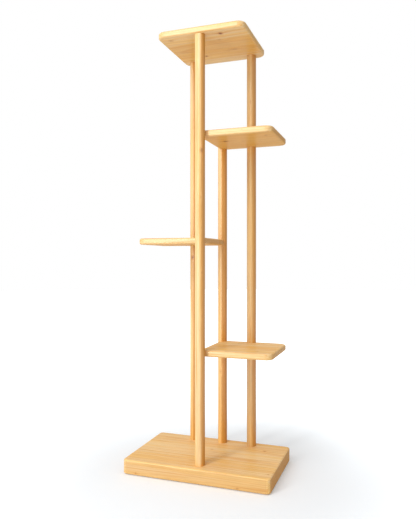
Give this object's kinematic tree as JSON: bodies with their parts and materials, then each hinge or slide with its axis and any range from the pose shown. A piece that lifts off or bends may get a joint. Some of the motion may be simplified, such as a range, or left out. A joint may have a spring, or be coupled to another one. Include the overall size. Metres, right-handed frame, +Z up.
{
  "type": "tiered plant stand",
  "caption": "Tall wooden plant stand: a thick base board and round posts carry a top shelf and smaller shelves that step out to either side.",
  "frame": {"origin": "on the floor, under the middle of the base board", "axes": "+X to the right seen from the front, +Y to the back, +Z up"},
  "size_m": [0.406, 0.25, 1.184],
  "materials": {
    "base_wood": "pine board, grain along X, satin clear lacquer",
    "post_wood": "turned pine, grain along Z, satin clear lacquer",
    "shelf_wood": "edge-glued pine board, grain along X, satin clear lacquer",
    "plug_wood": "end-grain pine plug and beech pin, sanded",
    "screw_steel": "zinc-plated steel",
    "felt": "pressed felt"
  },
  "bodies": {
    "root": {"base_board": "base_wood", "front_post": "post_wood", "rear_left_post": "post_wood", "rear_middle_post": "post_wood", "rear_right_post": "post_wood", "top_shelf": "shelf_wood", "upper_right_shelf": "shelf_wood", "middle_left_shelf": "shelf_wood", "lower_right_shelf": "shelf_wood", "top_plugs": "plug_wood", "shelf_pins": "plug_wood", "base_screws": "screw_steel", "shelf_screws": "screw_steel", "top_screws": "screw_steel", "felt_pads": "felt"}
  },
  "joints": []
}
